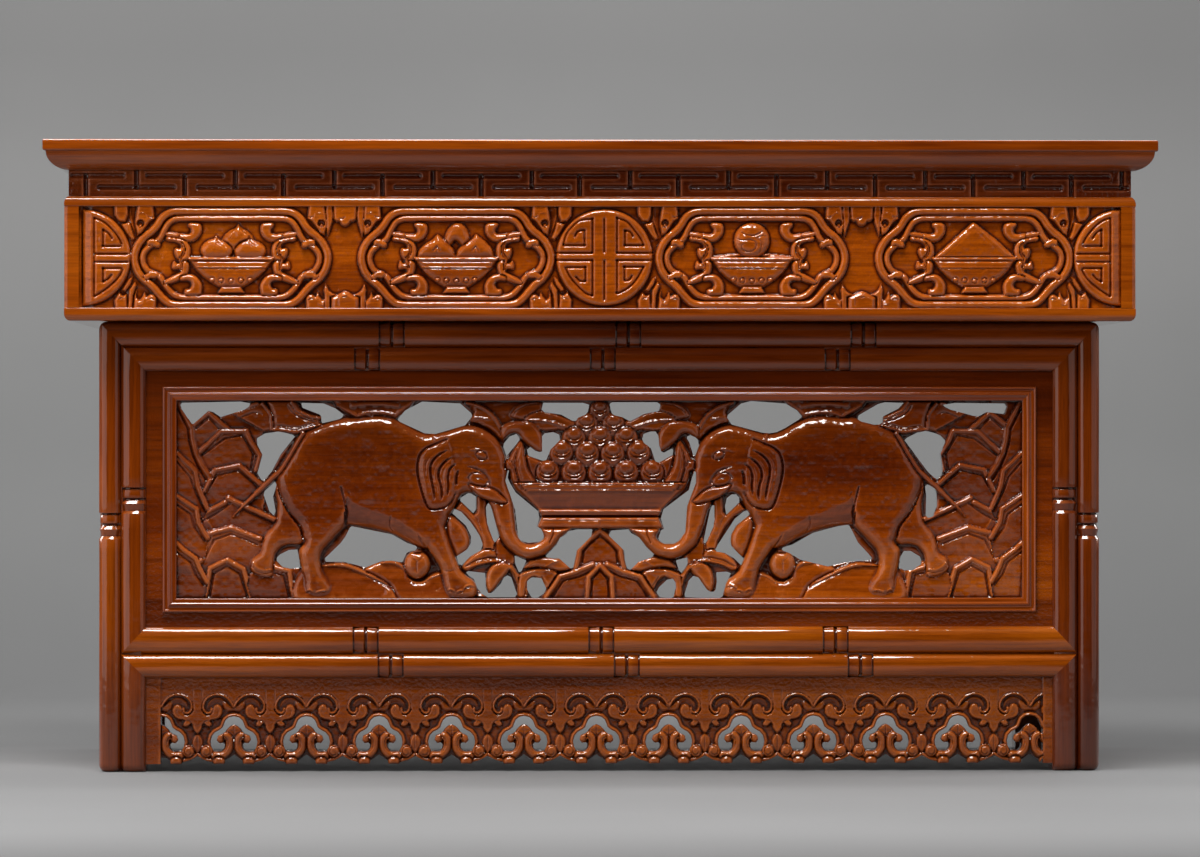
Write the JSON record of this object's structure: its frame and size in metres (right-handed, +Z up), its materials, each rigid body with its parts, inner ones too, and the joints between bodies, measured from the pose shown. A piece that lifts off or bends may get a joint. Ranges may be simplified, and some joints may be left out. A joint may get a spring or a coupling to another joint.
{
  "type": "carved altar table",
  "caption": "Low rectangular carved table on legs worked as bamboo canes, with a moulded top over a fretted waist, a carved box apron, openwork elephant panels and lace aprons.",
  "frame": {"origin": "centre of the table's footprint, on the floor", "axes": "+X to the right along the table's length, +Y to the back, +Z up"},
  "size_m": [0.885, 0.43, 0.5035],
  "materials": {
    "top_wood": "thick glossy red-brown varnish over straight-grained hardwood",
    "inner_wood": "plain unvarnished hardwood, sawn and planed",
    "waist_wood": "glossy red-brown varnish, dark in the carved grooves",
    "apron_wood": "glossy red-brown varnish, dark in the deep carving",
    "frame_wood": "glossy red-brown varnish over hardwood worked as bamboo canes",
    "carved_wood": "glossy red-brown varnish, dark in the deep carving"
  },
  "bodies": {
    "root": {"batten_left": "inner_wood", "batten_middle": "inner_wood", "batten_right": "inner_wood", "bead_front_bottom": "carved_wood", "bead_front_left": "carved_wood", "bead_front_right": "carved_wood", "bead_front_top": "carved_wood", "beads_left": "carved_wood", "beads_right": "carved_wood", "box_bottom_rail_back": "apron_wood", "box_bottom_rail_front": "apron_wood", "box_bottom_rail_left": "apron_wood", "box_bottom_rail_right": "apron_wood", "box_panel_back": "apron_wood", "box_panel_front": "apron_wood", "box_panel_left": "apron_wood", "box_panel_right": "apron_wood", "box_post_back_left": "apron_wood", "box_post_back_right": "apron_wood", "box_post_front_left": "apron_wood", "box_post_front_right": "apron_wood", "box_top_rail_back": "apron_wood", "box_top_rail_front": "apron_wood", "box_top_rail_left": "apron_wood", "box_top_rail_right": "apron_wood", "glue_blocks": "inner_wood", "lace_apron_front": "carved_wood", "lace_apron_left": "carved_wood", "lace_apron_right": "carved_wood", "leg_back_left": "frame_wood", "leg_back_right": "frame_wood", "leg_front_left": "frame_wood", "leg_front_right": "frame_wood", "lower_rail_back": "frame_wood", "lower_rail_front": "frame_wood", "lower_rail_left": "frame_wood", "lower_rail_right": "frame_wood", "openwork_panel_front": "carved_wood", "openwork_panel_left": "carved_wood", "openwork_panel_right": "carved_wood", "top_panel": "top_wood", "top_rail_back": "top_wood", "top_rail_front": "top_wood", "top_rail_left": "top_wood", "top_rail_right": "top_wood", "upper_rail_back": "frame_wood", "upper_rail_front": "frame_wood", "upper_rail_left": "frame_wood", "upper_rail_right": "frame_wood", "waist_back": "waist_wood", "waist_front": "waist_wood", "waist_left": "waist_wood", "waist_right": "waist_wood"}
  },
  "joints": []
}
